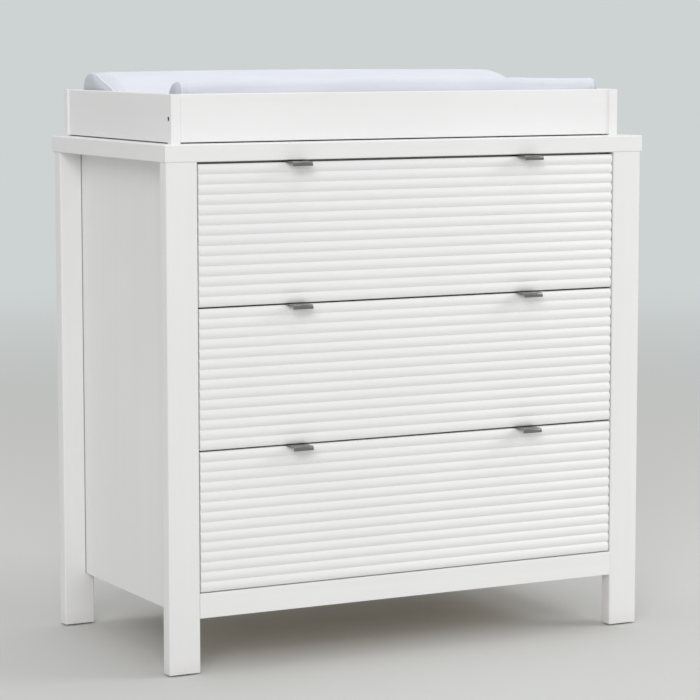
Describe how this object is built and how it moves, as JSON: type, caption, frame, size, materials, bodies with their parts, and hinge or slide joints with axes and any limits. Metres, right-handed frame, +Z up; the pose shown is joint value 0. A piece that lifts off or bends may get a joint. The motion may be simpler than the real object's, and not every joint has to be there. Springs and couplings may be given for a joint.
{
  "type": "changing dresser",
  "caption": "Painted chest of drawers with reeded fronts on board legs, topped by a railed tray that holds a contoured changing pad.",
  "frame": {"origin": "on the floor, under the middle of the whole piece's box, tab pulls and tray plates included", "axes": "+Z up, -Y towards the drawer fronts, +X to the right of someone who stands in front and looks at the drawers"},
  "size_m": [0.908, 0.5112, 0.977],
  "materials": {
    "painted_wood": "satin white paint",
    "back_board": "white-faced hardboard",
    "drawer_board": "clear-coated plywood",
    "drawer_bottom_board": "clear-coated plywood",
    "pull_metal": "dark satin metal",
    "slide_steel": "powder-coated steel",
    "roller_plastic": "smooth nylon",
    "glide_plastic": "matt plastic",
    "zinc_steel": "zinc plated",
    "pad_cover": "soft woven cover over foam"
  },
  "bodies": {
    "case": {"front_left_leg": "painted_wood", "front_right_leg": "painted_wood", "rear_left_leg": "painted_wood", "rear_right_leg": "painted_wood", "left_side_panel": "painted_wood", "right_side_panel": "painted_wood", "front_bottom_rail": "painted_wood", "rear_bottom_rail": "painted_wood", "front_top_stretcher": "painted_wood", "rear_top_stretcher": "painted_wood", "back_panel": "back_board", "top_slab": "painted_wood", "leg_glides": "glide_plastic", "bottom_left_cabinet_slide": "slide_steel", "bottom_right_cabinet_slide": "slide_steel", "middle_left_cabinet_slide": "slide_steel", "middle_right_cabinet_slide": "slide_steel", "top_left_cabinet_slide": "slide_steel", "top_right_cabinet_slide": "slide_steel", "tray_left_board": "painted_wood", "tray_right_board": "painted_wood", "tray_front_board": "painted_wood", "tray_back_board": "painted_wood", "tray_screws": "zinc_steel", "tray_plates": "zinc_steel", "plate_screws": "zinc_steel"},
    "bottom_drawer": {"bottom_drawer_front": "painted_wood", "bottom_drawer_back": "drawer_board", "bottom_drawer_bottom": "drawer_bottom_board", "bottom_drawer_pulls": "pull_metal", "bottom_drawer_left_side": "drawer_board", "bottom_drawer_right_side": "drawer_board", "bottom_left_drawer_slide": "slide_steel", "bottom_right_drawer_slide": "slide_steel"},
    "bottom_cabinet_roller_pair": {"bottom_cabinet_rollers": "roller_plastic"},
    "bottom_drawer_roller_pair": {"bottom_drawer_rollers": "roller_plastic"},
    "middle_drawer": {"middle_drawer_front": "painted_wood", "middle_drawer_back": "drawer_board", "middle_drawer_bottom": "drawer_bottom_board", "middle_drawer_pulls": "pull_metal", "middle_drawer_left_side": "drawer_board", "middle_drawer_right_side": "drawer_board", "middle_left_drawer_slide": "slide_steel", "middle_right_drawer_slide": "slide_steel"},
    "middle_cabinet_roller_pair": {"middle_cabinet_rollers": "roller_plastic"},
    "middle_drawer_roller_pair": {"middle_drawer_rollers": "roller_plastic"},
    "top_drawer": {"top_drawer_front": "painted_wood", "top_drawer_back": "drawer_board", "top_drawer_bottom": "drawer_bottom_board", "top_drawer_pulls": "pull_metal", "top_drawer_left_side": "drawer_board", "top_drawer_right_side": "drawer_board", "top_left_drawer_slide": "slide_steel", "top_right_drawer_slide": "slide_steel"},
    "top_cabinet_roller_pair": {"top_cabinet_rollers": "roller_plastic"},
    "top_drawer_roller_pair": {"top_drawer_rollers": "roller_plastic"},
    "pad": {"changing_pad": "pad_cover"}
  },
  "joints": [
    {"name": "bottom_drawer_slide", "type": "slide", "parent": "case", "child": "bottom_drawer", "axis": [0, -1, 0], "range_m": [0, 0.3]},
    {"name": "bottom_cabinet_roller_spin", "type": "hinge", "parent": "case", "child": "bottom_cabinet_roller_pair", "pos_m": [0, -0.1926, 0.1593], "axis": [1, 0, 0], "continuous": true},
    {"name": "bottom_drawer_roller_spin", "type": "hinge", "parent": "bottom_drawer", "child": "bottom_drawer_roller_pair", "pos_m": [0, 0.1764, 0.159], "axis": [1, 0, 0], "continuous": true},
    {"name": "middle_drawer_slide", "type": "slide", "parent": "case", "child": "middle_drawer", "axis": [0, -1, 0], "range_m": [0, 0.3]},
    {"name": "middle_cabinet_roller_spin", "type": "hinge", "parent": "case", "child": "middle_cabinet_roller_pair", "pos_m": [0, -0.1926, 0.39277], "axis": [1, 0, 0], "continuous": true},
    {"name": "middle_drawer_roller_spin", "type": "hinge", "parent": "middle_drawer", "child": "middle_drawer_roller_pair", "pos_m": [0, 0.1764, 0.39247], "axis": [1, 0, 0], "continuous": true},
    {"name": "top_drawer_slide", "type": "slide", "parent": "case", "child": "top_drawer", "axis": [0, -1, 0], "range_m": [0, 0.3]},
    {"name": "top_cabinet_roller_spin", "type": "hinge", "parent": "case", "child": "top_cabinet_roller_pair", "pos_m": [0, -0.1926, 0.62623], "axis": [1, 0, 0], "continuous": true},
    {"name": "top_drawer_roller_spin", "type": "hinge", "parent": "top_drawer", "child": "top_drawer_roller_pair", "pos_m": [0, 0.1764, 0.62593], "axis": [1, 0, 0], "continuous": true},
    {"name": "pad_lift", "type": "slide", "parent": "case", "child": "pad", "axis": [0, 0, 1], "range_m": [0, 0.15]}
  ],
  "couplings": [
    {"joint": "bottom_cabinet_roller_spin", "follows": "bottom_drawer_slide", "rad_per_m": 111.11},
    {"joint": "bottom_drawer_roller_spin", "follows": "bottom_drawer_slide", "rad_per_m": 111.11},
    {"joint": "middle_cabinet_roller_spin", "follows": "middle_drawer_slide", "rad_per_m": 111.11},
    {"joint": "middle_drawer_roller_spin", "follows": "middle_drawer_slide", "rad_per_m": 111.11},
    {"joint": "top_cabinet_roller_spin", "follows": "top_drawer_slide", "rad_per_m": 111.11},
    {"joint": "top_drawer_roller_spin", "follows": "top_drawer_slide", "rad_per_m": 111.11}
  ]
}
